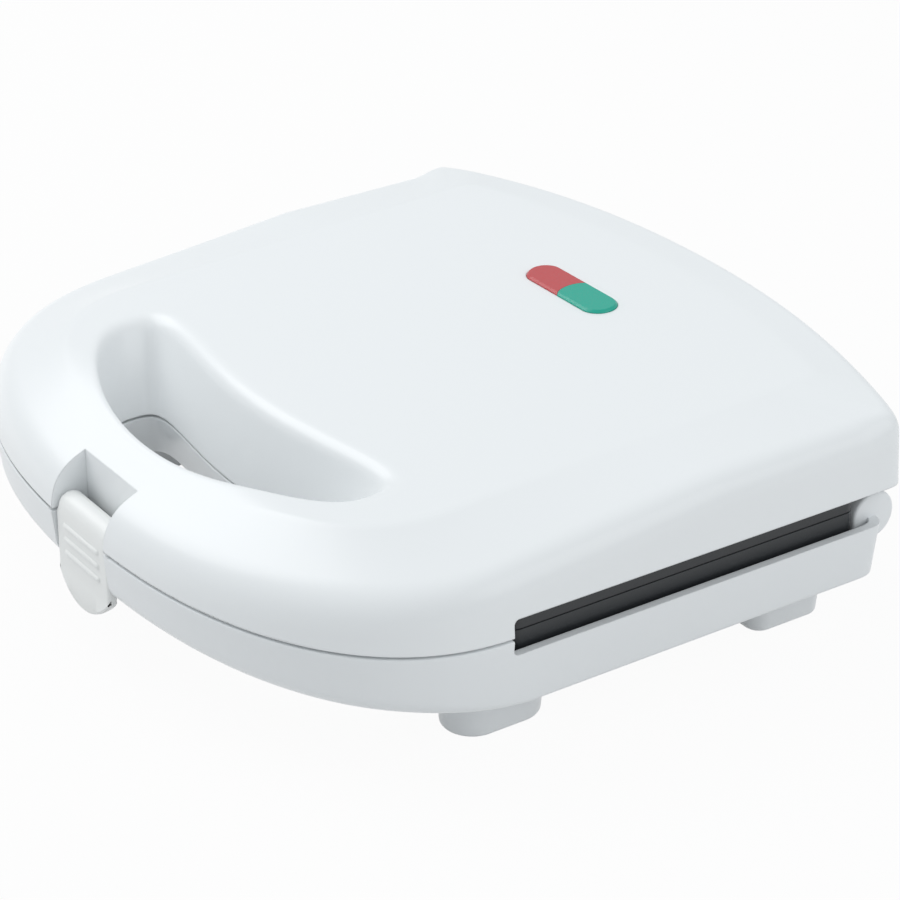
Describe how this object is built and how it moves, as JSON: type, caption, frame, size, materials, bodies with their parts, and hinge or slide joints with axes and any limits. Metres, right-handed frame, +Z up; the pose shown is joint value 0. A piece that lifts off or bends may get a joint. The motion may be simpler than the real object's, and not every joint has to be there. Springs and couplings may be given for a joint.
{
  "type": "sandwich toaster",
  "caption": "Compact white two-slice sandwich toaster with a hinged lid, open hand grip, front latch and a red and green indicator.",
  "frame": {"origin": "on the floor, under the middle of the closed toaster's bounding box", "axes": "+Z up; -Y is the front, with the hand grip and latch; +Y is the back, with the hinge; X runs along the width"},
  "size_m": [0.2296, 0.2187, 0.071],
  "materials": {
    "lid_plastic": "gloss",
    "base_plastic": "gloss",
    "latch_plastic": "satin",
    "cooking_plate": "satin non-stick coating",
    "element_steel": "dull",
    "reflector_sheet": "bright",
    "screw_steel": "zinc plated",
    "pin_steel": "ground",
    "red_lens": "translucent red",
    "green_lens": "translucent green",
    "lamp_glass": "clear",
    "inner_plastic": "matte",
    "dark_plastic": "matte",
    "pad_rubber": "matte"
  },
  "bodies": {
    "base": {"base_cover": "base_plastic", "lower_plate": "cooking_plate", "lower_element": "element_steel", "lower_reflector": "reflector_sheet", "lower_element_clamps": "element_steel", "lower_plate_screws": "screw_steel", "lower_clamp_screws": "screw_steel", "hinge_pin_left": "pin_steel", "hinge_pin_right": "pin_steel", "terminal_block": "inner_plastic", "cord_bush": "dark_plastic", "cord_clamp": "inner_plastic", "cord_clamp_screws": "screw_steel", "foot_pads": "pad_rubber", "lower_deck": "base_plastic"},
    "lid": {"lid_cover": "lid_plastic", "upper_plate": "cooking_plate", "upper_element": "element_steel", "upper_reflector": "reflector_sheet", "upper_element_clamps": "element_steel", "upper_plate_screws": "screw_steel", "upper_clamp_screws": "screw_steel", "red_lens": "red_lens", "green_lens": "green_lens", "lamp_holder": "inner_plastic", "red_lamp": "lamp_glass", "green_lamp": "lamp_glass", "thermostat": "pin_steel", "thermal_fuse": "pin_steel", "latch_pin": "pin_steel", "upper_deck": "lid_plastic"},
    "latch": {"latch": "latch_plastic"}
  },
  "joints": [
    {"name": "lid_hinge", "type": "hinge", "parent": "base", "child": "lid", "pos_m": [0, 0.0855, 0.034], "axis": [-1, 0, 0], "range_deg": [0, 100]},
    {"name": "latch_pivot", "type": "hinge", "parent": "lid", "child": "latch", "pos_m": [0, -0.1039, 0.0406], "axis": [-1, 0, 0], "range_deg": [0, 75]}
  ]
}
